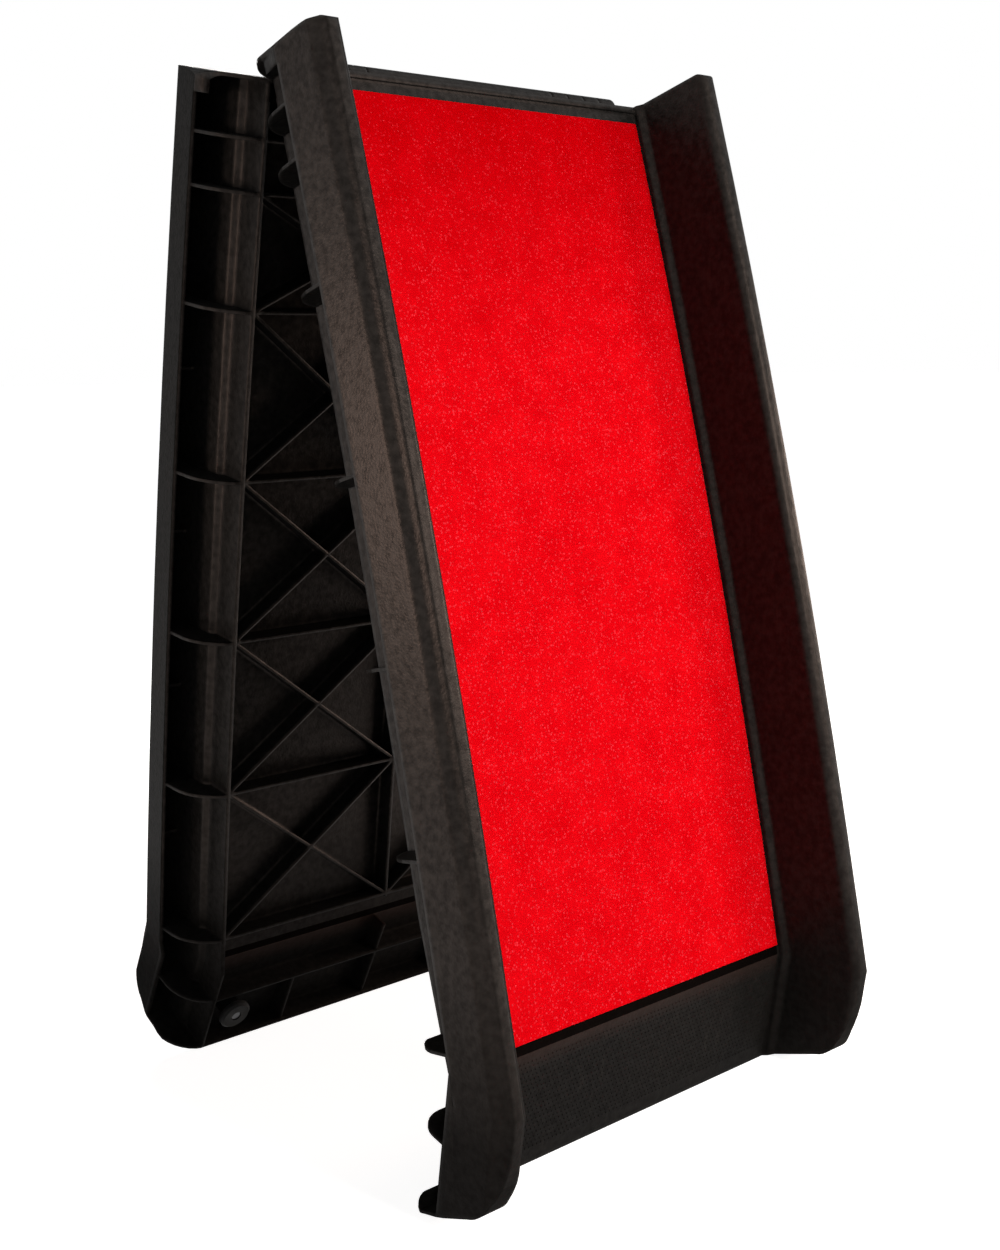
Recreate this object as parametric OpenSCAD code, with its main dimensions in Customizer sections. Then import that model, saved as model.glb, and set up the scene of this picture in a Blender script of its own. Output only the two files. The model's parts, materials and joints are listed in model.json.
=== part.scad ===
// Two-leaf folding ramp in moulded plastic, stood up as an A-frame.
// Each half is an arched deck between two hollow side rails, open underneath and
// stiffened by ribs. The halves are hinged along their undersides, and the apron at
// the far end of each half is bent: the upper one down, the lower one up.
// Half frame: X across, Y along the half from its hinge end, Z out of the walking face.

/* [Ramp size] */
// Overall width across both side rails
ramp_w = 406; // [380:1:440]
// Distance from the hinge end of a half to the bend of the upper apron
upper_bend_at = 716; // [714:1:730]
// Distance from the hinge end of a half to the bend of the lower apron
lower_bend_at = 714; // [714:1:730]
// Depth of the underside below the walking face
under_d = 22.5; // [20:0.5:22.5]
// Radius of the lengthwise arch of each deck
arch_r = 7800; // [7000:100:12000]
// Distance from the hinge end to the top of the arch
arch_top = 430; // [380:10:480]

/* [Side rails] */
// Width of one rail at its free edge
rail_w = 33; // [31:0.5:36]
// Height of the rail crest above the walking face
rail_h = 74; // [66:1:80]
// Height of the outer wall's free edge above the walking face
free_h = 27.5; // [24:0.5:34]
// Moulded wall thickness
wall = 2.6; // [2.2:0.1:3]
// Rib thickness
rib_t = 2.4; // [2:0.1:3]

/* [Ribs] */
// Distance from the hinge end to the first full bay
bay_from = 167; // [160:1:168]
// Length of one full bay
bay = 130; // [120:1:130]
// Number of full bays
bays = 4; // [3:1:4]
// Depth of the ribs under the deck
rib_d = 19.5; // [15:0.5:20]

/* [Aprons] */
// Bend of both end aprons
apron_bend = 20.3; // [15:0.1:22]
// Length of the upper apron along its walking face
upper_apron = 96; // [90:1:105]
// Length of the lower apron along its walking face
lower_apron = 85; // [80:1:95]
// Distance from the bend to the foot pads
pad_at = 50; // [45:1:56]
// Distance of the upper foot pads from the centre line
upper_pad_x = 112; // [106:1:116]
// Distance of the lower foot pads from the centre line, clear of the upper ones when folded
lower_pad_x = 148; // [146:1:152]

/* [Grip mats] */
// Thickness of the grip mat
mat_t = 1.8; // [1.4:0.1:2.4]
// Distance from the hinge end to the mat
mat_from = 14.5; // [12:0.5:20]
// Distance from the hinge end to the far edge of the mat
mat_to = 708; // [700:1:708]

/* [Hinge] */
// Angle between the two halves at rest
rest_angle = 22.2; // [16:0.1:30]
// Distance of the hinge axis below the walking face
hinge_d = 23; // [23:0.1:24]
// Distance of the hinge axis beyond the deck end
hinge_out = 4.2; // [4.2:0.1:5]
// Outer radius of a knuckle
knuckle_r = 10.5; // [9.5:0.5:11]
// Diameter of the hinge pin
pin_d = 8; // [6:0.5:9]
// Centre-to-centre spacing of the knuckles
knuckle_pitch = 18; // [16:1:20]

/* [Hidden] */

half_w = ramp_w / 2;
root_x = half_w - rail_w;
deck_t = 3;
lip_h = 2;
lip_len = 5;
arch_fn = 1440;
run_end = 690;
run_turn = (run_end - arch_top) / arch_r * 180 / PI;
arch_rise = arch_r - sqrt(arch_r * arch_r - arch_top * arch_top);
fit_run = 0.08;
gap = 0.8;
// how far the lengths of one moulding run into each other
weld = 0.02;

// rail cross-section
crest_r = 7;
crest_in = root_x + crest_r;
crest_out = half_w - 13;
lens_r = 36;
lens_out = 2;
draft = 0.022;
// rounding of a rail's hinge end, and how far its end piece reaches
end_r = 7;
end_len = 16;
// the aprons: free edge of the outer wall above the walking face, and depth of the underside
function apron_free(sign) = sign < 0 ? free_h - 7.5 : free_h - 4.5;
function apron_d(sign) = under_d - (sign < 0 ? 8.5 : 0.5);
function apron_lens_r(sign) = sign < 0 ? 22 : lens_r;
// how far before the bend the upper half's underside begins to rise
taper_len = 90;

// knuckles, pins and what holds them
knuckles = 5;
knuckle_w = knuckle_pitch - gap;
hinge_x = root_x - 14;
bore_upper = pin_d;
bore_lower = pin_d + 2 * fit_run;
head_r = 6.5;
head_t = 2.6;
washer_t = 1.2;
ring_t = 1.4;
web_len = 9;

// foot pads
pad_r = 14;
pad_t = 6;
boss_r = 9;
function boss_d(sign) = apron_d(sign) - 1;
screw_r = 2;
screw_head_r = 4;
screw_head_t = 2.4;
function screw_len(sign) = boss_d(sign) - 5;

// ---- points and paths
function unit(v) = v / norm(v);
function right_of(v) = [v[1], -v[0]];
function back(p) = [for (i = [len(p) - 1:-1:0]) p[i]];
function swapped(p) = [for (q = back(p)) [-q[0], q[1]]];
// a path moved sideways by t, to the right of its direction
function beside(p, t) = [for (i = [0:len(p) - 1])
  let (i0 = max(i, 1), i1 = min(i, len(p) - 2),
       na = right_of(unit(p[i0] - p[i0 - 1])), nb = right_of(unit(p[i1 + 1] - p[i1])))
  p[i] + t * (na + nb) / (1 + na * nb)];
function arc(c, r, a0, a1, n) = [for (i = [0:n]) let (a = a0 + (a1 - a0) * i / n) c + r * [cos(a), sin(a)]];

// visible skin of the right rail: skirt, ledge, leaning inner wall, crest, groove, outer wall
function rail_skin(free) = concat(
  [[root_x, -under_d], [root_x, 0], [root_x + 0.4, 5], [root_x + 4.4, 9.5]],
  arc([crest_in + crest_r, rail_h - crest_r], crest_r, 180, 90, 5),
  [[crest_out, rail_h - 0.5], [crest_out + 2.3, rail_h - 6.6], [half_w - 7.1, rail_h - 10.6],
   [half_w - 5.5, rail_h - 13], [half_w, free_h]],
  free < free_h ? [[half_w, free]] : []);
function rail_wall(free) = let (p = rail_skin(free)) concat(p, back(beside(p, wall)));
// underside of a rib: an arc from the outer wall in to the skirt, low being its depth
function lens(x_in, r, low) = let (cx = half_w - lens_out - r)
  cx < x_in ? arc([cx, r - low], r, 0, -acos((x_in - cx) / r), 8) : concat(arc([cx, r - low], r, 0, -90, 8), [[x_in, -low]]);
function rail_rib(free, r = lens_r, low = under_d) = let (p = beside(rail_skin(free), wall / 2))
  concat([for (i = [1:len(p) - 1]) p[i]], lens(root_x + wall / 2, r, low));
// whole section with its underside filled, and the hollows taken out of it
function filled(free, r = lens_r, low = under_d) = let (p = rail_skin(free), h = concat([for (i = [1:len(p) - 1]) p[i]], lens(root_x, r, low)))
  concat(h, swapped(h));
function channel(free) = let (p = beside(rail_skin(free), wall), edge = [half_w, free])
  concat([for (i = [1:len(p) - 1]) p[i]], [edge + 3 * (edge - p[len(p) - 1]),
  [half_w + 9, -under_d - 9], [root_x + wall, -under_d - 9]]);
function box2(x0, x1, z0, z1) = [[x0, z0], [x1, z0], [x1, z1], [x0, z1]];
under_deck = box2(-root_x, root_x, -under_d - 9, -deck_t);

// ---- sweeps in the half frame
module arch_centre() translate([0, arch_top, arch_rise - arch_r]) children();
module at(s) arch_centre() rotate([-(s - arch_top) / arch_r * 180 / PI, 0, 0]) translate([0, 0, arch_r]) children();
// a profile swept along the arch from s0 to s1
module bar(pts, s0, s1)
  arch_centre() rotate([90, 0, 90]) rotate([0, 0, 90 - (s1 - arch_top) / arch_r * 180 / PI])
    rotate_extrude(angle = (s1 - s0) / arch_r * 180 / PI, $fn = arch_fn)
      polygon([for (p = pts) [arch_r + p[1], p[0]]]);
// a profile swept straight along Y
module beam(pts, y0, y1) translate([0, y1, 0]) rotate([90, 0, 0]) linear_extrude(y1 - y0) polygon(pts);
// a side outline swept across X
module across(pts, x0, x1) translate([x0, 0, 0]) rotate([90, 0, 90]) linear_extrude(x1 - x0) polygon(pts);
module both() for (m = [0, 1]) mirror([m, 0, 0]) children();
// frame of an apron: sign is -1 for a bend to the underside, +1 for one to the walking face
module bent(bend_at, sign, share = 1) at(run_end) translate([0, bend_at - run_end, 0])
  rotate([sign * apron_bend * share, 0, 0]) children();

// ---- ribs
station = concat([43, 81], [for (i = [0:bays]) bay_from + i * bay]);
module rib(s) {
  both() bar(rail_rib(free_h), s - rib_t / 2, s + rib_t / 2);
  bar(box2(-root_x - 1, root_x + 1, -rib_d, -1), s - rib_t / 2, s + rib_t / 2);
}
// one diagonal under the deck between two stations
module diagonal(x0, s0, x1, s1) {
  length = norm([x1 - x0, s1 - s0]);
  at((s0 + s1) / 2) translate([(x0 + x1) / 2, 0, 0])
    rotate([0, 0, atan2(s1 - s0, x1 - x0)])
      translate([-length / 2, -rib_t / 2, -rib_d]) cube([length, rib_t, rib_d - 1]);
}
module lattice() {
  for (s = station) rib(s);
  for (i = [1:len(station) - 2], side = [-1, 1]) {
    diagonal(0, station[i], side * root_x, station[i + 1]);
    diagonal(side * root_x, station[i], 0, station[i + 1]);
  }
  both() for (i = [2:len(station) - 2])
    bar([[root_x + 7.3, rail_h - 28], [half_w - 4, rail_h - 28], [half_w - 7, rail_h - 14], [half_w - 14, rail_h - 1], [root_x + 9, rail_h - 4]],
      station[i] + bay * 0.4, station[i] + bay * 0.4 + rib_t);
}

// ---- one half without its hinge
function end_side(t = 0) = concat([[t, -90]], arc([end_r, rail_h - end_r + 0.3], end_r - t, 180, 90, 6),
  [[end_len + 9, rail_h + 0.3 - t], [end_len + 9, -90]]);
function end_plan(t = 0) = let (h = arc([half_w - end_r + 0.3, end_r - 0.3], end_r - t, -90, 0, 6))
  concat(h, [[half_w + 0.3 - t, end_len + 9], [-half_w - 0.3 + t, end_len + 9]], swapped(h));
// a piece of the hinge end, kept inside its side and plan outlines
module within_end(t) intersection() {
  children();
  at(0) across(end_side(t), -half_w - 10, half_w + 10);
  at(0) translate([0, 0, -90]) linear_extrude(200) polygon(end_plan(t));
}
// the hinge end of both rails with the end wall between them
module hinge_end() difference() {
  within_end(0) bar(filled(free_h), -2, end_len);
  both() within_end(wall) bar(channel(free_h), -3, end_len + 1);
  bar(under_deck, wall, end_len + 1);
}
module run() {
  hinge_end();
  both() bar(rail_wall(free_h), end_len - weld, run_end);
  bar(box2(-root_x - 1, root_x + 1, -deck_t, 0), end_len - 1, run_end);
  bar(box2(-root_x - 1, root_x + 1, -1, lip_h), 0, lip_len);
  bar(box2(-rib_t / 2, rib_t / 2, -rib_d, -1), 1, run_end);
  lattice();
}
// side outline of an apron, with its crest rolling down to a raked end; t moves it inwards
function apron_side(length, rake, low, t = 0) = let (turn = 26, big = 125, small = 24,
    c1 = [5, rail_h - big], c2 = c1 + (big - small) * [sin(turn), cos(turn)])
  concat([[-90, low], [length - t + draft * low, low], [length - t, 0]],
    arc(c2, small - t, rake, 90 - turn, 5), arc(c1, big - t, 90 - turn, 90, 5), [[-90, rail_h + 3 - t]]);
// a point of the upper apron, in the frame of the stretch before its bend
function in_run(y, z) = [y * cos(apron_bend) + z * sin(apron_bend), z * cos(apron_bend) - y * sin(apron_bend)];
// how far an apron's section is drawn before its bend and past its end, and where its rib stands
apron_back = 40;
apron_over = 20;
rib_at = 28;
// the straight stretch before the bend, mitred to the apron
module neck(bend_at, sign) difference() {
  at(run_end) difference() {
    beam(filled(free_h), 0, bend_at - run_end + apron_over);
    both() beam(channel(free_h), -1, bend_at - run_end + apron_over + 1);
    beam(under_deck, -1, bend_at - run_end + apron_over + 1);
  }
  bent(bend_at, sign, 0.5) translate([-half_w - 20, weld, -90]) cube([2 * half_w + 40, 90, 200]);
}
// what is taken off the upper half's underside so that it rises to the depth of its apron
module taper(bend_at, sign) at(run_end) across([[-taper_len, -under_d - 0.7], [bend_at - run_end - 2.4, -apron_d(sign) - 0.4],
  [bend_at - run_end - 2.4, -90], [-taper_len, -90]], -half_w - 10, half_w + 10);
module apron(bend_at, sign, length, rake, pad_x) {
  free = apron_free(sign);
  difference() {
    bent(bend_at, sign) {
      difference() {
        intersection() {
          beam(filled(free, apron_lens_r(sign), apron_d(sign) + 1), -apron_back, length + apron_over);
          across(apron_side(length, rake, -apron_d(sign)), -half_w - 10, half_w + 10);
        }
        both() intersection() {
          beam(channel(free), -apron_back - 1, length + apron_over);
          across(apron_side(length, rake, -90, wall), -half_w - 20, half_w + 20);
        }
        intersection() {
          beam(under_deck, -apron_back - 1, length + apron_over);
          across(apron_side(length, rake, -90, wall), -root_x - 10, root_x + 10);
        }
      }
      intersection() {
        union() {
          both() beam(rail_rib(free, apron_lens_r(sign), apron_d(sign) - 1.5), rib_at, rib_at + rib_t);
          beam(box2(-root_x - 1, root_x + 1, -apron_d(sign) + 1, -1), rib_at, rib_at + rib_t);
        }
        across(apron_side(length, rake, -apron_d(sign), wall / 2), -half_w - 10, half_w + 10);
      }
      for (x = [-90, 0, 90])
        beam(box2(x - rib_t / 2, x + rib_t / 2, -apron_d(sign) + 2, -1), x == 0 ? -20 : rib_at + 1, length - 1);
      for (x = [-pad_x, pad_x])
        translate([x, pad_at, -boss_d(sign)]) cylinder(r = boss_r, h = boss_d(sign) - 1, $fn = 48);
    }
    bent(bend_at, sign, 0.5) translate([-half_w - 20, -90 - weld, -90]) cube([2 * half_w + 40, 90, 200]);
    bent(bend_at, sign) for (x = [-pad_x, pad_x])
      translate([x, pad_at, -boss_d(sign) - 1]) cylinder(r = screw_r, h = screw_len(sign), $fn = 32);
  }
  // the outer walls' free edge slopes down to the apron's, along the apron's own direction where it bends down
  bent(bend_at, sign, 0) both()
    across(sign < 0 ? [[-16.5, free_h + 1], [-16.5, free_h], in_run(4, free), in_run(4, free + 9)]
      : [[-14, free_h + 1], [-14, free_h], [-4.1, free], [2, free_h + 1]], half_w - wall, half_w);
}

// ---- hinge
module hinge_axis() translate([0, -hinge_out, -hinge_d]) rotate([0, 90, 0]) children();
module barrel(r, x0, x1) hinge_axis() translate([0, 0, x0]) cylinder(r = r, h = x1 - x0, $fn = 64);
// first is 0 for the half with the outer knuckles, 1 for the half between them
function knuckle_x(first) = [for (i = [first:2:knuckles - 1]) hinge_x - i * knuckle_pitch];
module knuckle_set(first) both() for (x = knuckle_x(first)) {
  barrel(knuckle_r, x - knuckle_w / 2, x + knuckle_w / 2);
  translate([x - knuckle_w / 2, -hinge_out, -hinge_d]) cube([knuckle_w, hinge_out + web_len, knuckle_r]);
  translate([x - knuckle_w / 2, 1, -hinge_d + 0.5]) cube([knuckle_w, web_len - 1, hinge_d - 2]);
}
// the upper half's hood carries the line of the knuckles on across the middle, open to the inside
hood_x = hinge_x - (knuckles - 1) * knuckle_pitch - knuckle_w / 2 + weld;
module hood() difference() {
  barrel(knuckle_r, -hood_x, hood_x);
  barrel(knuckle_r - wall, -hood_x - 1, hood_x + 1);
  translate([-hood_x - 1, -hinge_out + 2, -hinge_d - knuckle_r - 1]) cube([2 * hood_x + 2, 30, knuckle_r + 1]);
}
// room for the other half's knuckles or hood, and for the ends of the pins
module knuckle_room(first) {
  both() {
    for (x = knuckle_x(1 - first)) barrel(knuckle_r + gap, x - knuckle_pitch / 2, x + knuckle_pitch / 2);
    barrel(head_r + 1.2, hinge_x + knuckle_w / 2, root_x);
    barrel(head_r + 1.2, hinge_x - knuckles * knuckle_pitch - 2, hinge_x - (knuckles - 1) * knuckle_pitch - knuckle_w / 2);
  }
  if (first == 1) barrel(knuckle_r + gap, -hood_x - knuckle_pitch / 2, hood_x + knuckle_pitch / 2);
}
module shell(bend_at, sign, length, rake, pad_x, first, bore) difference() {
  union() {
    difference() {
      union() {
        run();
        neck(bend_at, sign);
        apron(bend_at, sign, length, rake, pad_x);
      }
      knuckle_room(first);
      if (sign < 0) taper(bend_at, sign);
    }
    knuckle_set(first);
    if (first == 0) hood();
  }
  barrel(bore / 2, -root_x, root_x);
}
module mat() {
  edge = root_x - 1;
  bar(box2(-edge, edge, 0, mat_t), mat_from, run_end);
  at(run_end) beam(box2(-edge, edge, 0, mat_t), 0, mat_to - run_end);
}
module pad(bend_at, sign, x) bent(bend_at, sign) translate([x, pad_at, -boss_d(sign) - pad_t]) difference() {
  rotate_extrude($fn = 64) polygon([[0, 0], [pad_r - 2, 0], [pad_r, 2], [pad_r, pad_t - 1], [pad_r - 1, pad_t], [0, pad_t]]);
  translate([0, 0, -1]) cylinder(r = screw_r + 0.1, h = pad_t + 2, $fn = 32);
  translate([0, 0, -1]) cylinder(r = screw_head_r + 0.6, h = 1 + screw_head_t + 0.8, $fn = 32);
}
module screws(bend_at, sign, pad_x) for (x = [-pad_x, pad_x]) bent(bend_at, sign)
  translate([x, pad_at, -boss_d(sign) - pad_t + 0.8]) {
    cylinder(r = screw_head_r, h = screw_head_t, $fn = 32);
    cylinder(r = screw_r, h = screw_len(sign), $fn = 32);
  }
module pin() {
  outer = hinge_x + knuckle_w / 2 + washer_t;
  inner = hinge_x - (knuckles - 1) * knuckle_pitch - knuckle_w / 2 - ring_t - 1.2;
  hinge_axis() {
    translate([0, 0, inner]) cylinder(r = pin_d / 2, h = outer - inner + 1, $fn = 64);
    translate([0, 0, outer]) cylinder(r = head_r, h = head_t, $fn = 64);
  }
}
module ring(r, x, t) difference() {
  barrel(r, x, x + t);
  barrel(pin_d / 2, x - 1, x + t + 1);
}

// ---- the A-frame: both halves lean so that their aprons stand on one floor
function foot_point(bend_at, sign, y, z) = let (
    b = sign * apron_bend,
    ly = bend_at - run_end + y * cos(b) - z * sin(b),
    lz = y * sin(b) + z * cos(b))
  [arch_top + (arch_r + lz) * sin(run_turn) + ly * cos(run_turn) + hinge_out,
   arch_rise - arch_r + (arch_r + lz) * cos(run_turn) - ly * sin(run_turn) + hinge_d];
upper_toe = foot_point(upper_bend_at, -1, upper_apron, 0);
lower_toe = foot_point(lower_bend_at, 1, lower_apron - draft * apron_d(1), -apron_d(1));
upper_dir = rest_angle / 2 + atan2(upper_toe[1], upper_toe[0]);
lower_dir = rest_angle / 2 + atan2(lower_toe[1], lower_toe[0]);
lean = atan2(norm(upper_toe) * cos(upper_dir) - norm(lower_toe) * cos(lower_dir),
  norm(upper_toe) * sin(upper_dir) + norm(lower_toe) * sin(lower_dir));
hinge_z = norm(upper_toe) * cos(upper_dir + lean);
// how far a half reaches out from the hinge: the crest's kink at the bend, or its roll down the apron
function reach(bend_at, sign, side, tilt) = max([for (p = concat(side, [[-sign * rail_h * tan(apron_bend / 2), rail_h]]))
  if (p[1] > 0 && p[0] > -80) let (q = foot_point(bend_at, sign, p[0], p[1])) q[0] * sin(tilt) + q[1] * cos(tilt)]);
upper_reach = reach(upper_bend_at, -1, apron_side(upper_apron, apron_bend, 0), rest_angle / 2 + lean);
lower_reach = reach(lower_bend_at, 1, apron_side(lower_apron, 0, 0), rest_angle / 2 - lean);
hinge_y = (upper_reach - lower_reach) / 2;
module lower_half() translate([0, hinge_y, hinge_z]) rotate([rest_angle / 2 - lean - 90, 0, 0])
  translate([0, hinge_out, hinge_d]) children();
module upper_half() translate([0, hinge_y, hinge_z]) rotate([0, 0, 180]) rotate([rest_angle / 2 + lean - 90, 0, 0])
  translate([0, hinge_out, hinge_d]) children();

// ---- sub-parts
module upper_shell() color("dimgray") upper_half()
  shell(upper_bend_at, -1, upper_apron, apron_bend, upper_pad_x, 0, bore_upper);
module lower_shell() color("dimgray") lower_half()
  shell(lower_bend_at, 1, lower_apron, 0, lower_pad_x, 1, bore_lower);
module upper_grip_mat() color("crimson") upper_half() mat();
module lower_grip_mat() color("crimson") lower_half() mat();
module hinge_pin_left() color("silver") upper_half() pin();
module hinge_pin_right() color("silver") upper_half() mirror([1, 0, 0]) pin();
module hinge_washers() color("gainsboro") upper_half() both()
  ring(head_r + 0.6, hinge_x + knuckle_w / 2, washer_t);
module pin_retainers() color("silver") upper_half() both()
  ring(head_r, hinge_x - (knuckles - 1) * knuckle_pitch - knuckle_w / 2 - ring_t, ring_t);
module upper_foot_left() color("black") upper_half() pad(upper_bend_at, -1, upper_pad_x);
module upper_foot_right() color("black") upper_half() pad(upper_bend_at, -1, -upper_pad_x);
module lower_foot_left() color("black") lower_half() pad(lower_bend_at, 1, -lower_pad_x);
module lower_foot_right() color("black") lower_half() pad(lower_bend_at, 1, lower_pad_x);
module upper_foot_screws() color("silver") upper_half() screws(upper_bend_at, -1, upper_pad_x);
module lower_foot_screws() color("silver") lower_half() screws(lower_bend_at, 1, lower_pad_x);

upper_shell();
lower_shell();
upper_grip_mat();
lower_grip_mat();
hinge_pin_left();
hinge_pin_right();
hinge_washers();
pin_retainers();
upper_foot_left();
upper_foot_right();
lower_foot_left();
lower_foot_right();
upper_foot_screws();
lower_foot_screws();
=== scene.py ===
"""Two-leaf folding ramp in moulded plastic with red grit mats, standing as an A-frame.

Both halves are dressed in the part's own frame: metres, +Z up, the upper half towards -Y.
"""
import json
import math

import bmesh
import bpy
from mathutils import Matrix, Vector


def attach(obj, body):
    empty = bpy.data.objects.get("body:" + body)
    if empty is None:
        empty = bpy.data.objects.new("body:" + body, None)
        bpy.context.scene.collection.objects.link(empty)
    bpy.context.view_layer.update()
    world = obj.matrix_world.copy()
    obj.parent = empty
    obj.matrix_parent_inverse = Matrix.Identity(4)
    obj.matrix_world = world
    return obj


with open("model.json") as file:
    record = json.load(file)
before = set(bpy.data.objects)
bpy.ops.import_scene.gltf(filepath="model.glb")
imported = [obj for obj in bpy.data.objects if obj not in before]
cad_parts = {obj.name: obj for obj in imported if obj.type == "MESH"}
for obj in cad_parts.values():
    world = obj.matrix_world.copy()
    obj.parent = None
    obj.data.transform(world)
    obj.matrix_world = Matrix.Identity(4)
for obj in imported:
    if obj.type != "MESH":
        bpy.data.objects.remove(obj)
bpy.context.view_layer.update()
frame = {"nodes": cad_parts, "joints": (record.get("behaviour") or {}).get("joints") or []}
nodes = frame["nodes"]
fold = frame["joints"][0]

MM = 0.001
# the halves stand at these tilts from the vertical, about the hinge line
HINGE = Vector(fold["pos_m"])
REST_ANGLE = 22.2
LEAN = 1.989
# deck and rails, as the mouldings have them
ARCH_R, ARCH_TOP, RUN_END = 7800.0, 430.0, 690.0
HINGE_OUT, HINGE_D = 4.2, 23.0
ROOT_X, MAT_T = 170.0, 1.8
MAT_FROM, MAT_TO, APRON_BEND = 14.5, 708.0, 20.3
# in metres above the floor: mouldings are duller below this, and above this the mats are painted darker, a
# painted shade, and carry fewer grains
FOOT_DULL, MAT_SHADE_AND_SPARSE_FROM = 0.07, 0.58
# where the aprons bend along each half, and how far below the bend a painted highlight reaches
UPPER_BEND, LOWER_BEND, BEND_HIGHLIGHT_REACH = 716.0, 714.0, 16.0
UPPER_APRON, LOWER_APRON = 96.0, 85.0


# ---------------------------------------------------------------- places
def turn(axis, degrees):
    return Matrix.Rotation(math.radians(degrees), 4, axis)


def half_frame(upper):
    """Frame of a half in mm: X across, Y along it from its hinge end, Z out of the walking face."""
    out = Matrix.Translation(HINGE / MM)
    if upper:
        out = out @ turn("Z", 180)
    tilt = REST_ANGLE / 2 + (LEAN if upper else -LEAN) - 90
    return out @ turn("X", tilt) @ Matrix.Translation((0, HINGE_OUT, HINGE_D))


UPPER, LOWER = half_frame(True), half_frame(False)
RISE = ARCH_R - math.sqrt(ARCH_R ** 2 - ARCH_TOP ** 2)


def on_deck(s, x=0.0, z=0.0):
    """Point of a half at s along its arch, x across and z above the walking face."""
    a = (s - ARCH_TOP) / ARCH_R
    return Vector((x, ARCH_TOP + (ARCH_R + z) * math.sin(a), RISE - ARCH_R + (ARCH_R + z) * math.cos(a)))


# ---------------------------------------------------------------- shader tools
def link(tree, a, b):
    tree.links.new(a, b)


def node(tree, kind, **settings):
    n = tree.nodes.new("ShaderNode" + kind)
    for key, value in settings.items():
        setattr(n, key, value)
    return n


def new_group(name, inputs, outputs):
    """Shader node group with float or colour sockets: inputs are (name, type, default)."""
    g = bpy.data.node_groups.new(name, "ShaderNodeTree")
    for n, kind, default in inputs:
        s = g.interface.new_socket(n, in_out="INPUT", socket_type="NodeSocket" + kind)
        s.default_value = default
    for n, kind in outputs:
        g.interface.new_socket(n, in_out="OUTPUT", socket_type="NodeSocket" + kind)
    return g, g.nodes.new("NodeGroupInput").outputs, g.nodes.new("NodeGroupOutput").inputs


def put(tree, group, **values):
    n = tree.nodes.new("ShaderNodeGroup")
    n.node_tree = group
    for key, value in values.items():
        n.inputs[key.replace("_", " ")].default_value = value
    return n


def maths(tree, operation, a, b=None, clamp=False):
    n = node(tree, "Math", operation=operation, use_clamp=clamp)
    for i, v in enumerate((a, b)):
        if v is None:
            continue
        if isinstance(v, (int, float)):
            n.inputs[i].default_value = v
        else:
            link(tree, v, n.inputs[i])
    return n.outputs[0]


def spread(tree, value, lo, hi, to_lo=0.0, to_hi=1.0):
    n = node(tree, "MapRange")
    link(tree, value, n.inputs["Value"])
    for key, v in (("From Min", lo), ("From Max", hi), ("To Min", to_lo), ("To Max", to_hi)):
        n.inputs[key].default_value = v
    return n.outputs["Result"]


def blend_colours(tree, mask, a, b):
    n = node(tree, "Mix", data_type="RGBA")
    link(tree, mask, n.inputs["Factor"])
    for key, v in (("A", a), ("B", b)):
        s = [i for i in n.inputs if i.name == key and i.type == "RGBA"][0]
        if isinstance(v, tuple):
            s.default_value = v
        else:
            link(tree, v, s)
    return [o for o in n.outputs if o.type == "RGBA"][0]


def moulded_grain():
    """Height of a spark-eroded mould texture: fine pebbles over a softer mottle."""
    g, i, o = new_group("moulded grain", [("Pebble", "Float", 900.0), ("Mottle", "Float", 120.0)],
                        [("Height", "Float"), ("Mottle", "Float")])
    place = node(g, "TexCoord").outputs["Object"]
    cells = node(g, "TexVoronoi", feature="SMOOTH_F1")
    cells.inputs["Smoothness"].default_value = 0.6
    fine = node(g, "TexNoise")
    broad = node(g, "TexNoise")
    fine.inputs["Detail"].default_value = 3.0
    broad.inputs["Detail"].default_value = 4.0
    for n in (cells, fine, broad):
        link(g, place, n.inputs["Vector"])
    link(g, i["Pebble"], cells.inputs["Scale"])
    link(g, i["Pebble"], fine.inputs["Scale"])
    link(g, i["Mottle"], broad.inputs["Scale"])
    link(g, maths(g, "ADD", cells.outputs["Distance"], fine.outputs["Fac"]), o["Height"])
    link(g, broad.outputs["Fac"], o["Mottle"])
    return g


def handling_marks():
    """Masks for dust that lies in patches and for fine drag marks along the ramp."""
    g, i, o = new_group("handling marks", [("Patch", "Float", 9.0), ("Amount", "Float", 0.5)],
                        [("Dust", "Float"), ("Scuff", "Float")])
    place = node(g, "TexCoord").outputs["Object"]
    patches = node(g, "TexNoise")
    patches.inputs["Detail"].default_value = 6.0
    patches.inputs["Roughness"].default_value = 0.62
    link(g, place, patches.inputs["Vector"])
    link(g, i["Patch"], patches.inputs["Scale"])
    drawn = node(g, "Mapping")
    drawn.inputs["Scale"].default_value = (60.0, 60.0, 4.0)
    link(g, place, drawn.inputs["Vector"])
    drags = node(g, "TexNoise")
    drags.inputs["Detail"].default_value = 5.0
    drags.inputs["Scale"].default_value = 3.0
    link(g, drawn.outputs[0], drags.inputs["Vector"])
    link(g, maths(g, "MULTIPLY", spread(g, patches.outputs["Fac"], 0.45, 0.75), i["Amount"]), o["Dust"])
    link(g, maths(g, "MULTIPLY", spread(g, drags.outputs["Fac"], 0.6, 0.75), i["Amount"]), o["Scuff"])
    return g


GRAIN, MARKS = moulded_grain(), handling_marks()


def material(name):
    m = bpy.data.materials.new(name)
    m.use_nodes = True
    t = m.node_tree
    return m, t, t.nodes["Principled BSDF"].inputs


def bump(t, height, distance, strength=1.0, under=None):
    n = node(t, "Bump")
    n.inputs["Distance"].default_value = distance
    n.inputs["Strength"].default_value = strength
    link(t, height, n.inputs["Height"])
    if under is not None:
        link(t, under, n.inputs["Normal"])
    return n.outputs["Normal"]


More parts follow.
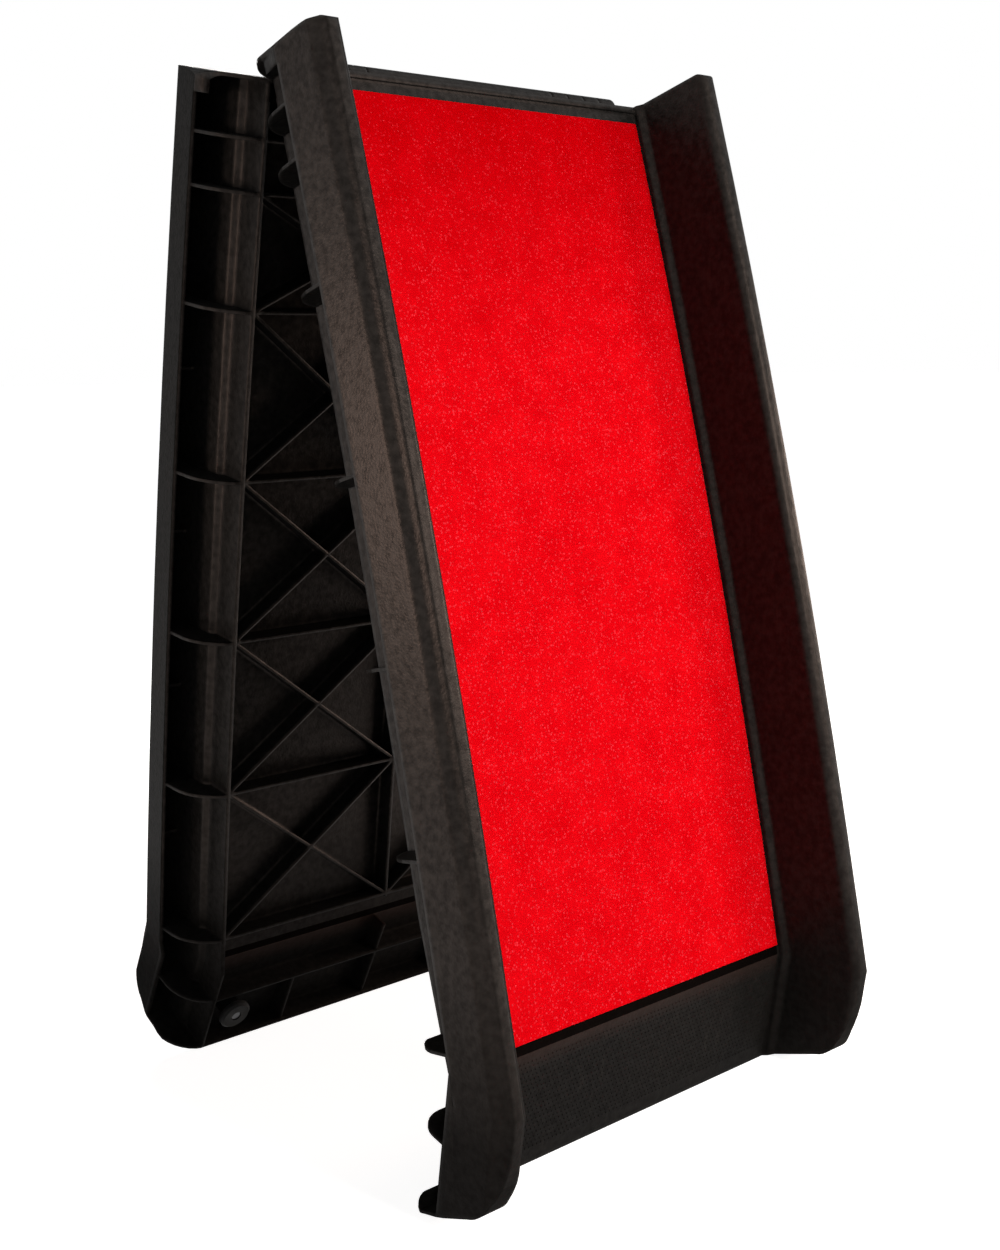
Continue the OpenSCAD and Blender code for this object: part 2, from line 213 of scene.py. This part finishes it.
def mould_black(name, soften):
    """Matt black moulding; soften is the radius that its edges are rounded to, 0 for none."""
    m, t, p = material(name)
    grain = put(t, GRAIN, Pebble=520.0, Mottle=190.0).outputs
    marks = put(t, MARKS, Patch=7.0, Amount=0.35).outputs
    darkest, lightest = (0.0088, 0.0084, 0.0080, 1), (0.0130, 0.0125, 0.0120, 1)
    dust, scuff = (0.020, 0.0172, 0.015, 1), (0.026, 0.023, 0.020, 1)
    # below: a painted highlight tone for the apron bend, then a painted shade tone for the step below the
    # mat
    bend_highlight_tone, step_shade_tone = (0.026, 0.0165, 0.0140, 1), (0.0032, 0.0022, 0.0019, 1)
    tone = blend_colours(t, spread(t, grain["Mottle"], 0.3, 0.7), darkest, lightest)
    tone = blend_colours(t, marks["Dust"], tone, dust)
    tone = blend_colours(t, marks["Scuff"], tone, scuff)
    split = node(t, "SeparateXYZ")
    link(t, node(t, "TexCoord").outputs["Object"], split.inputs[0])
    # painted shade darkens the step between mat and apron, and a painted highlight lightens the bend below
    # it
    across = maths(t, "LESS_THAN", maths(t, "ABSOLUTE", split.outputs["X"]), (ROOT_X - 0.5) * MM)
    painted_shade = painted_highlight = None
    for half, bend_at, side in ((UPPER, UPPER_BEND, "LESS_THAN"), (LOWER, LOWER_BEND, "GREATER_THAN")):
        bend, mat_end = ((half @ on_deck(s)).z * MM for s in (bend_at, MAT_TO))
        here = maths(t, "MULTIPLY", across, maths(t, side, split.outputs["Y"], 0.0))
        low = maths(t, "LESS_THAN", split.outputs["Z"], bend)
        below_mat = maths(t, "LESS_THAN", split.outputs["Z"], mat_end)
        step = maths(t, "MULTIPLY", maths(t, "SUBTRACT", 1.0, low), below_mat)
        bend_highlight = maths(t, "MULTIPLY", low, spread(t, split.outputs["Z"], bend - BEND_HIGHLIGHT_REACH * MM, bend))
        step, bend_highlight = maths(t, "MULTIPLY", here, step), maths(t, "MULTIPLY", here, bend_highlight)
        painted_shade = step if painted_shade is None else maths(t, "ADD", painted_shade, step)
        painted_highlight = bend_highlight if painted_highlight is None else maths(t, "ADD", painted_highlight, bend_highlight)
    # painted highlight on the apron bend
    tone = blend_colours(t, painted_highlight, tone, bend_highlight_tone)
    # painted shade in the step below the mat
    link(t, blend_colours(t, painted_shade, tone, step_shade_tone), p["Base Color"])
    shine = spread(t, split.outputs["Z"], FOOT_DULL, FOOT_DULL + 0.12)
    # the mould texture shades itself at glancing angles, so the gloss falls off there
    glance = node(t, "LayerWeight").outputs["Facing"]
    facing = spread(t, glance, 0.32, 0.64, 0.15, 0.009)
    gloss = maths(t, "MULTIPLY", spread(t, shine, 0.0, 1.0, 0.20, 1.0), facing)
    gloss = maths(t, "MULTIPLY", gloss, spread(t, painted_shade, 0.0, 1.0, 1.0, 0.1))
    uneven = spread(t, grain["Mottle"], 0.35, 0.65, 0.7, 1.3)
    link(t, maths(t, "MULTIPLY", gloss, uneven), p["Specular IOR Level"])
    rough = spread(t, grain["Mottle"], 0.3, 0.7, 0.44, 0.56)
    link(t, maths(t, "SUBTRACT", rough, maths(t, "MULTIPLY", shine, 0.12)), p["Roughness"])
    under = None
    if soften:
        soft = node(t, "Bevel", samples=8)
        soft.inputs["Radius"].default_value = soften
        under = soft.outputs[0]
    link(t, bump(t, grain["Height"], 0.22 * MM, 0.5, under), p["Normal"])
    p["Specular Tint"].default_value = (1.0, 0.76, 0.64, 1)
    return m


def red_grit():
    m, t, p = material("red grit sheet")
    place = node(t, "TexCoord").outputs["Object"]
    flakes = node(t, "TexVoronoi")
    flakes.inputs["Scale"].default_value = 560.0
    mottle = node(t, "TexNoise")
    mottle.inputs["Scale"].default_value = 45.0
    mottle.inputs["Detail"].default_value = 5.0
    grit = node(t, "TexNoise")
    grit.inputs["Scale"].default_value = 800.0
    grit.inputs["Detail"].default_value = 3.0
    for n in (flakes, mottle, grit):
        link(t, place, n.inputs["Vector"])
    split = node(t, "SeparateXYZ")
    link(t, place, split.inputs[0])
    # painted shade: above this height the sheet's red is painted darker and carries fewer flecks
    unshaded_low = spread(t, split.outputs["Z"], MAT_SHADE_AND_SPARSE_FROM, MAT_SHADE_AND_SPARSE_FROM + 0.2, 1.0, 0.0)
    patchy = spread(t, mottle.outputs["Fac"], 0.3, 0.7)
    shaded_red = blend_colours(t, patchy, (0.52, 0.0, 0.0020, 1), (0.60, 0.0, 0.0032, 1))
    plain_red = blend_colours(t, patchy, (0.74, 0.001, 0.0050, 1), (0.86, 0.003, 0.0080, 1))
    tone = blend_colours(t, unshaded_low, shaded_red, plain_red)
    sep = node(t, "SeparateColor")
    link(t, flakes.outputs["Color"], sep.inputs[0])
    near = spread(t, flakes.outputs["Distance"], 0.6, 0.2)
    glint = maths(t, "MULTIPLY", spread(t, sep.outputs[0], 0.72, 0.92), near)
    glint = maths(t, "MULTIPLY", glint, spread(t, unshaded_low, 0.0, 1.0, 0.25, 1.0))
    link(t, blend_colours(t, glint, tone, (0.92, 0.04, 0.06, 1)), p["Base Color"])
    p["Roughness"].default_value = 0.75
    p["Specular IOR Level"].default_value = 0.0
    pits = maths(t, "MULTIPLY", flakes.outputs["Distance"], -0.6)
    height = maths(t, "ADD", pits, grit.outputs["Fac"])
    link(t, bump(t, height, 0.4 * MM, 0.5), p["Normal"])
    return m


def grit_grain():
    m, t, p = material("red grit grain")
    place = node(t, "TexCoord").outputs["Object"]
    shade = node(t, "TexNoise")
    shade.inputs["Scale"].default_value = 260.0
    link(t, place, shade.inputs["Vector"])
    dark, pale = (0.84, 0.014, 0.022, 1), (0.92, 0.055, 0.07, 1)
    link(t, blend_colours(t, spread(t, shade.outputs["Fac"], 0.35, 0.65), dark, pale), p["Base Color"])
    p["Roughness"].default_value = 0.6
    p["Specular IOR Level"].default_value = 0.05
    return m


def plated(name, low, high):
    m, t, p = material(name)
    grain = put(t, GRAIN, Pebble=700.0, Mottle=200.0).outputs
    link(t, blend_colours(t, grain["Mottle"], low, high), p["Base Color"])
    p["Metallic"].default_value = 1.0
    link(t, spread(t, grain["Mottle"], 0.3, 0.7, 0.26, 0.40), p["Roughness"])
    link(t, bump(t, grain["Height"], 0.03 * MM, 0.4), p["Normal"])
    return m


def natural_nylon():
    m, t, p = material("natural nylon")
    grain = put(t, GRAIN, Pebble=500.0, Mottle=150.0).outputs
    link(t, blend_colours(t, grain["Mottle"], (0.62, 0.61, 0.57, 1), (0.74, 0.73, 0.70, 1)), p["Base Color"])
    link(t, spread(t, grain["Mottle"], 0.3, 0.7, 0.38, 0.5), p["Roughness"])
    link(t, bump(t, grain["Height"], 0.03 * MM, 0.4), p["Normal"])
    return m


def foot_rubber():
    m, t, p = material("foot rubber")
    grain = put(t, GRAIN, Pebble=800.0, Mottle=120.0).outputs
    marks = put(t, MARKS, Patch=40.0, Amount=0.8).outputs
    tone = blend_colours(t, grain["Mottle"], (0.008, 0.008, 0.008, 1), (0.013, 0.013, 0.013, 1))
    link(t, blend_colours(t, marks["Dust"], tone, (0.03, 0.028, 0.026, 1)), p["Base Color"])
    p["Specular IOR Level"].default_value = 0.1
    link(t, spread(t, grain["Mottle"], 0.3, 0.7, 0.6, 0.75), p["Roughness"])
    link(t, bump(t, grain["Height"], 0.08 * MM, 0.5), p["Normal"])
    return m


EDGE_SOFTENING = 4.5
BLACK = mould_black("black moulding", EDGE_SOFTENING * MM)
NUB_BLACK = mould_black("black moulded nubs", 0)
RED, GRAIN_RED = red_grit(), grit_grain()
ZINC = plated("zinc plated steel", (0.50, 0.50, 0.52, 1), (0.66, 0.66, 0.67, 1))
DARK_ZINC = plated("black zinc screws", (0.035, 0.035, 0.037, 1), (0.07, 0.07, 0.072, 1))
NYLON, RUBBER = natural_nylon(), foot_rubber()


def finish_with(material_of, *names):
    for name in names:
        slots = nodes[name].data.materials
        for k in range(len(slots)):
            slots[k] = material_of


finish_with(BLACK, "upper_shell", "lower_shell")
finish_with(RED, "upper_grip_mat", "lower_grip_mat")
finish_with(ZINC, "hinge_pin_left", "hinge_pin_right", "pin_retainers")
finish_with(DARK_ZINC, "upper_foot_screws", "lower_foot_screws")
finish_with(NYLON, "hinge_washers")
finish_with(RUBBER, "upper_foot_left", "upper_foot_right",
            "lower_foot_left", "lower_foot_right")


# ---------------------------------------------------------------- what repeats
def new_tree(name, inputs):
    """Geometry tree with named inputs (name, type, default) and one geometry output."""
    g = bpy.data.node_groups.new(name, "GeometryNodeTree")
    g.interface.new_socket("Geometry", in_out="INPUT", socket_type="NodeSocketGeometry")
    for n, kind, default in inputs:
        g.interface.new_socket(n, in_out="INPUT", socket_type="NodeSocket" + kind).default_value = default
    g.interface.new_socket("Geometry", in_out="OUTPUT", socket_type="NodeSocketGeometry")
    return g, g.nodes.new("NodeGroupInput").outputs, g.nodes.new("NodeGroupOutput").inputs


def gnode(g, kind, **settings):
    n = g.nodes.new(kind)
    for key, value in settings.items():
        setattr(n, key, value)
    return n


def random_between(g, low, high, seed, kind="FLOAT"):
    n = gnode(g, "FunctionNodeRandomValue", data_type=kind)
    pick = [s for s in n.inputs if s.enabled]
    for s, v in zip(pick, (low, high)):
        if isinstance(v, (int, float, tuple)):
            s.default_value = v
        else:
            link(g, v, s)
    [s for s in n.inputs if s.name == "Seed"][0].default_value = seed
    return [s for s in n.outputs if s.enabled][0]


def finish_tree(g, out, instances, mat):
    real = gnode(g, "GeometryNodeRealizeInstances")
    dress = gnode(g, "GeometryNodeSetMaterial")
    dress.inputs["Material"].default_value = mat
    link(g, instances, real.inputs[0])
    link(g, real.outputs[0], dress.inputs["Geometry"])
    link(g, dress.outputs[0], out["Geometry"])


def grit_tree():
    """Flattened grains strewn over a sheet, each turned its own way."""
    g, i, out = new_tree("strewn grit", [
        ("Spacing", "Float", 3.0 * MM), ("Density", "Float", 30000.0),
        ("Least", "Float", 0.5 * MM), ("Most", "Float", 0.9 * MM)])
    strew = gnode(g, "GeometryNodeDistributePointsOnFaces", distribute_method="POISSON")
    strew.inputs["Seed"].default_value = 5
    link(g, i["Geometry"], strew.inputs["Mesh"])
    link(g, i["Spacing"], strew.inputs["Distance Min"])
    link(g, i["Density"], strew.inputs["Density Max"])
    split = gnode(g, "ShaderNodeSeparateXYZ")
    link(g, gnode(g, "GeometryNodeInputPosition").outputs[0], split.inputs[0])
    # fewer grains above the height where the sheet is painted darker
    kept = spread(g, split.outputs["Z"], MAT_SHADE_AND_SPARSE_FROM, MAT_SHADE_AND_SPARSE_FROM + 0.2, 1.0, 0.25)
    link(g, kept, strew.inputs["Density Factor"])
    grain = gnode(g, "GeometryNodeMeshIcoSphere")
    grain.inputs["Radius"].default_value = 1.0
    grain.inputs["Subdivisions"].default_value = 1
    flat = gnode(g, "GeometryNodeTransform")
    flat.inputs["Scale"].default_value = (1.0, 0.8, 0.45)
    link(g, grain.outputs["Mesh"], flat.inputs["Geometry"])
    spin = gnode(g, "FunctionNodeRotateRotation", rotation_space="LOCAL")
    link(g, strew.outputs["Rotation"], spin.inputs[0])
    about = gnode(g, "FunctionNodeEulerToRotation")
    link(g, random_between(g, (-0.35, -0.35, 0.0), (0.35, 0.35, 6.28), 8, "FLOAT_VECTOR"), about.inputs[0])
    link(g, about.outputs[0], spin.inputs[1])
    lay = gnode(g, "GeometryNodeInstanceOnPoints")
    link(g, strew.outputs["Points"], lay.inputs["Points"])
    link(g, flat.outputs[0], lay.inputs["Instance"])
    link(g, spin.outputs[0], lay.inputs["Rotation"])
    link(g, random_between(g, i["Least"], i["Most"], 3), lay.inputs["Scale"])
    finish_tree(g, out, lay.outputs[0], GRAIN_RED)
    return g


def nub_tree():
    """Low nubs in staggered rows over a flat patch, which lies in its own X-Y plane."""
    g, i, out = new_tree("moulded nubs", [
        ("Across", "Float", 0.3), ("Along", "Float", 0.08), ("Pitch", "Float", 4.0 * MM),
        ("Radius", "Float", 0.9 * MM), ("Height", "Float", 0.6 * MM)])
    rows = gnode(g, "GeometryNodeMeshGrid")
    link(g, i["Across"], rows.inputs["Size X"])
    link(g, i["Along"], rows.inputs["Size Y"])
    for size, count in (("Across", "Vertices X"), ("Along", "Vertices Y")):
        steps = maths(g, "ROUND", maths(g, "DIVIDE", i[size], i["Pitch"]))
        link(g, maths(g, "ADD", steps, 1.0), rows.inputs[count])
    split = gnode(g, "ShaderNodeSeparateXYZ")
    link(g, gnode(g, "GeometryNodeInputPosition").outputs[0], split.inputs[0])
    from_end = maths(g, "ADD", split.outputs["Y"], maths(g, "MULTIPLY", i["Along"], 0.5))
    row = maths(g, "ROUND", maths(g, "DIVIDE", from_end, i["Pitch"]))
    shift = gnode(g, "ShaderNodeCombineXYZ")
    half_pitch = maths(g, "MULTIPLY", i["Pitch"], 0.5)
    link(g, maths(g, "MULTIPLY", maths(g, "MODULO", row, 2.0), half_pitch), shift.inputs["X"])
    stagger = gnode(g, "GeometryNodeSetPosition")
    link(g, rows.outputs["Mesh"], stagger.inputs["Geometry"])
    link(g, shift.outputs[0], stagger.inputs["Offset"])
    nub = gnode(g, "GeometryNodeMeshCone")
    nub.inputs["Vertices"].default_value = 6
    link(g, maths(g, "MULTIPLY", i["Radius"], 0.45), nub.inputs["Radius Top"])
    link(g, i["Radius"], nub.inputs["Radius Bottom"])
    link(g, i["Height"], nub.inputs["Depth"])
    lay = gnode(g, "GeometryNodeInstanceOnPoints")
    link(g, stagger.outputs[0], lay.inputs["Points"])
    link(g, nub.outputs["Mesh"], lay.inputs["Instance"])
    finish_tree(g, out, lay.outputs[0], NUB_BLACK)
    return g


def settle(name, start, tree, body, slot, place=Matrix(), **inputs):
    """Run a tree on the start mesh, make the result a plain mesh in place and let it ride on a body."""
    o = bpy.data.objects.new(name, start)
    bpy.context.scene.collection.objects.link(o)
    mod = o.modifiers.new("tree", "NODES")
    mod.node_group = tree
    for item in tree.interface.items_tree:
        if item.item_type == "SOCKET" and item.in_out == "INPUT" and item.name in inputs:
            mod[item.identifier] = inputs[item.name]
    plain = bpy.data.meshes.new_from_object(o.evaluated_get(bpy.context.evaluated_depsgraph_get()))
    o.modifiers.clear()
    plain.transform(place)
    o.data = plain
    o.data.name = name
    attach(o, body)
    return o


def to_row(half):
    """Half frame in mm to row frame in metres."""
    return Matrix.Scale(MM, 4) @ half


SHEET_STEPS = 70


def mat_sheet(half):
    """The mat's upper face as a plain strip along the arch, in the row frame."""
    bm = bmesh.new()
    edge, first, end = ROOT_X - 3.0, MAT_FROM + 2.0, MAT_TO - 2.0
    last = None
    for k in range(SHEET_STEPS + 1):
        s = first + (end - first) * k / SHEET_STEPS
        pair = [bm.verts.new(to_row(half) @ on_deck(s, x, MAT_T)) for x in (-edge, edge)]
        if last:
            bm.faces.new((last[0], last[1], pair[1], pair[0]))
        last = pair
    mesh = bpy.data.meshes.new("mat sheet")
    bm.to_mesh(mesh)
    bm.free()
    return mesh


def apron_frame(half, bend_at, sign):
    """Frame of an apron in mm, its Y running from the bend to the end."""
    a = math.degrees((RUN_END - ARCH_TOP) / ARCH_R)
    end_of_arch = half @ Matrix.Translation(on_deck(RUN_END)) @ turn("X", -a)
    return end_of_arch @ Matrix.Translation((0, bend_at - RUN_END, 0)) @ turn("X", sign * APRON_BEND)


GRIT, NUBS = grit_tree(), nub_tree()
# nubs stay this far from the rails, from the bend and from the apron's rolled end
NUBS_SIDE, NUBS_START, NUBS_END = 8.0, 8.0, 14.0
for side, half, bend_at, sign, length in (("upper", UPPER, UPPER_BEND, -1, UPPER_APRON),
                                          ("lower", LOWER, LOWER_BEND, 1, LOWER_APRON)):
    settle(side + "_mat_grit", mat_sheet(half), GRIT, side, "mat",
           Spacing=3.2 * MM, Density=42000.0, Least=0.40 * MM, Most=0.74 * MM)
    patch = bpy.data.meshes.new("patch")
    reach = length - NUBS_START - NUBS_END
    place = apron_frame(half, bend_at, sign) @ Matrix.Translation((-1.0, NUBS_START + reach / 2, 0))
    settle(side + "_apron_nubs", patch, NUBS, side, "shell", to_row(place @ Matrix.Scale(1 / MM, 4)),
           Across=2 * (ROOT_X - NUBS_SIDE) * MM, Along=reach * MM)


# ---------------------------------------------------------------- studio
# how bright the floor looks by the object; it is white further out
NEAR_GLOW, GLOW_FROM, GLOW_TO = 0.91, 0.5, 1.6
FLOOR_REACH = 40.0


def background_rays(t, path):
    """1 for the rays that show the plain background: seen, mirrored or through."""
    mirrored = maths(t, "MAXIMUM", path["Is Glossy Ray"], path["Is Transmission Ray"])
    return maths(t, "MAXIMUM", path["Is Camera Ray"], mirrored)


def floor():
    m, t, p = material("studio floor")
    speck = node(t, "TexNoise")
    speck.inputs["Scale"].default_value = 40.0
    link(t, node(t, "TexCoord").outputs["Object"], speck.inputs["Vector"])
    link(t, spread(t, speck.outputs["Fac"], 0.3, 0.7, 0.80, 0.82), p["Base Color"])
    p["Roughness"].default_value = 0.9
    p["Specular IOR Level"].default_value = 0.1
    path = node(t, "LightPath").outputs
    p["Emission Color"].default_value = (1, 1, 1, 1)
    away = node(t, "VectorMath", operation="LENGTH")
    link(t, node(t, "TexCoord").outputs["Object"], away.inputs[0])
    glow = spread(t, away.outputs["Value"], GLOW_FROM, GLOW_TO, NEAR_GLOW, 1.0)
    link(t, maths(t, "MULTIPLY", background_rays(t, path), glow), p["Emission Strength"])
    mesh = bpy.data.meshes.new("floor")
    r = FLOOR_REACH
    mesh.from_pydata([(-r, -r, 0), (r, -r, 0), (r, r, 0), (-r, r, 0)], [], [(0, 1, 2, 3)])
    mesh.materials.append(m)
    o = bpy.data.objects.new("floor", mesh)
    bpy.context.scene.collection.objects.link(o)


def soft_box(name, at, towards, width, height, watts, colour, beam):
    light = bpy.data.lights.new(name, "AREA")
    light.spread = math.radians(beam)
    light.shape, light.size, light.size_y = "RECTANGLE", width, height
    light.energy, light.color = watts, colour
    o = bpy.data.objects.new(name, light)
    o.location = at
    o.rotation_euler = (Vector(towards) - Vector(at)).to_track_quat("-Z", "Y").to_euler()
    bpy.context.scene.collection.objects.link(o)


def surroundings():
    world = bpy.data.worlds.new("studio")
    bpy.context.scene.world = world
    world.use_nodes = True
    t = world.node_tree
    back = t.nodes["Background"]
    path = node(t, "LightPath").outputs
    ground = blend_colours(t, background_rays(t, path), (0.03, 0.03, 0.03, 1), (1, 1, 1, 1))
    link(t, ground, back.inputs["Color"])
    back.inputs["Strength"].default_value = 1.0


# place in metres; yaw, pitch and roll in degrees; lens in mm
CAMERA_AT, CAMERA_TURN, CAMERA_LENS = (-0.826, -0.9669, 0.5859), (41.16, -9.55, -0.8), 45.69


def camera():
    yaw, pitch, roll = map(math.radians, CAMERA_TURN)
    ahead = Vector((math.sin(yaw) * math.cos(pitch), math.cos(yaw) * math.cos(pitch), math.sin(pitch)))
    level = Vector((math.cos(yaw), -math.sin(yaw), 0))
    up = level.cross(ahead)
    right = level * math.cos(roll) + up * math.sin(roll)
    up = right.cross(ahead)
    data = bpy.data.cameras.new("camera")
    data.lens, data.sensor_width, data.sensor_fit = CAMERA_LENS, 36.0, "AUTO"
    data.clip_start, data.clip_end = 0.05, 200.0
    o = bpy.data.objects.new("camera", data)
    facing = Matrix((right, up, -ahead)).transposed().to_4x4()
    o.matrix_world = Matrix.Translation(CAMERA_AT) @ facing
    bpy.context.scene.collection.objects.link(o)
    bpy.context.scene.camera = o


# name, place, aim, width, height, watts, colour, beam in degrees
SOFT_BOXES = (
    ("key", (0.25, -1.85, 1.05), (0, -0.15, 0.42), 0.6, 0.5, 25, (1.0, 0.96, 0.92), 180),
    ("rim", (1.15, -1.45, 0.70), (-0.05, -0.15, 0.45), 0.4, 0.3, 5.5, (1.0, 0.80, 0.68), 180),
    ("edge", (1.75, -0.45, 0.60), (0, -0.13, 0.45), 0.4, 0.5, 12, (1.0, 0.76, 0.62), 180),
    ("side", (-1.30, 0.30, 0.54), (-0.2, -0.17, 0.50), 0.36, 0.36, 0.75, (1.0, 0.82, 0.72), 50),
    ("fill", (-1.1, -1.7, 0.8), (0.1, -0.15, 0.4), 0.8, 0.8, 1.5, (1, 1, 1), 180),
    ("top", (0.2, -0.9, 2.3), (0, -0.1, 0.3), 1.2, 1.2, 2, (1, 1, 1), 180),
    ("back", (0.8, 1.75, 1.1), (0, 0.15, 0.42), 0.7, 0.6, 22, (1.0, 0.97, 0.94), 180),
)

floor()
surroundings()
camera()
for soft_box_row in SOFT_BOXES:
    soft_box(*soft_box_row)

scene = bpy.context.scene
scene.view_settings.view_transform = "Standard"
